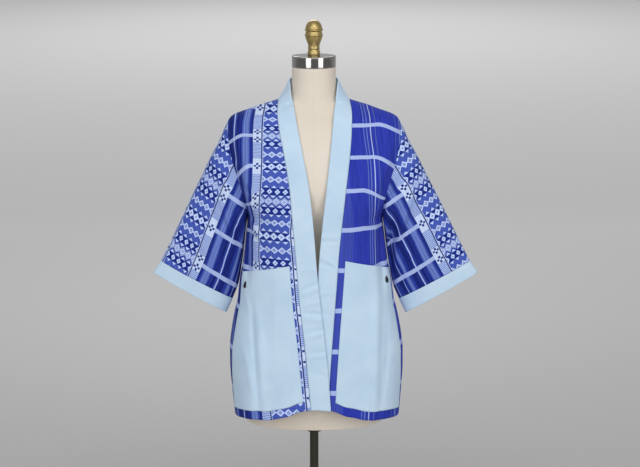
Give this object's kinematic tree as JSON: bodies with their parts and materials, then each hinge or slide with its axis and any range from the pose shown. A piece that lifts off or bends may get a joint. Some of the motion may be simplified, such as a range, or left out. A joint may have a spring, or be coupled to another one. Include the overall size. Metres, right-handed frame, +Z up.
{
  "type": "kimono jacket on dress form",
  "caption": "Hip-length kimono jacket in patterned woven cloth with plain band, cuffs and patch pockets, worn open on a limbless dress form with a pole stand.",
  "frame": {"origin": "middle of the stand base's underside, on the floor", "axes": "+Z up along the stand pole, -Y towards the jacket's open front, +X towards the wearer's left sleeve"},
  "size_m": [0.798, 0.384, 1.5473],
  "materials": {
    "woven_cloth": "handwoven cotton, royal blue with pale blue patterned strips",
    "plain_cotton": "plain pale blue cotton poplin, matt",
    "stud": "dark glossy moulded stud",
    "form_linen": "cream linen stretched over the form, matt",
    "cap_metal": "polished plated band",
    "finial_metal": "turned and bronzed, satin",
    "stand_metal": "dark bronze paint, semi-gloss"
  },
  "bodies": {
    "root": {"form_torso": "form_linen", "neck_cap": "cap_metal", "finial": "finial_metal", "stand_socket": "stand_metal", "stand_pole": "stand_metal", "stand_base": "stand_metal", "back": "woven_cloth", "front_right": "woven_cloth", "front_left": "woven_cloth", "sleeve_right": "woven_cloth", "sleeve_left": "woven_cloth", "cuff_right": "plain_cotton", "cuff_left": "plain_cotton", "neckband": "plain_cotton", "pocket_right": "plain_cotton", "pocket_left": "plain_cotton", "pocket_stud_right": "stud", "pocket_stud_left": "stud"}
  },
  "joints": []
}
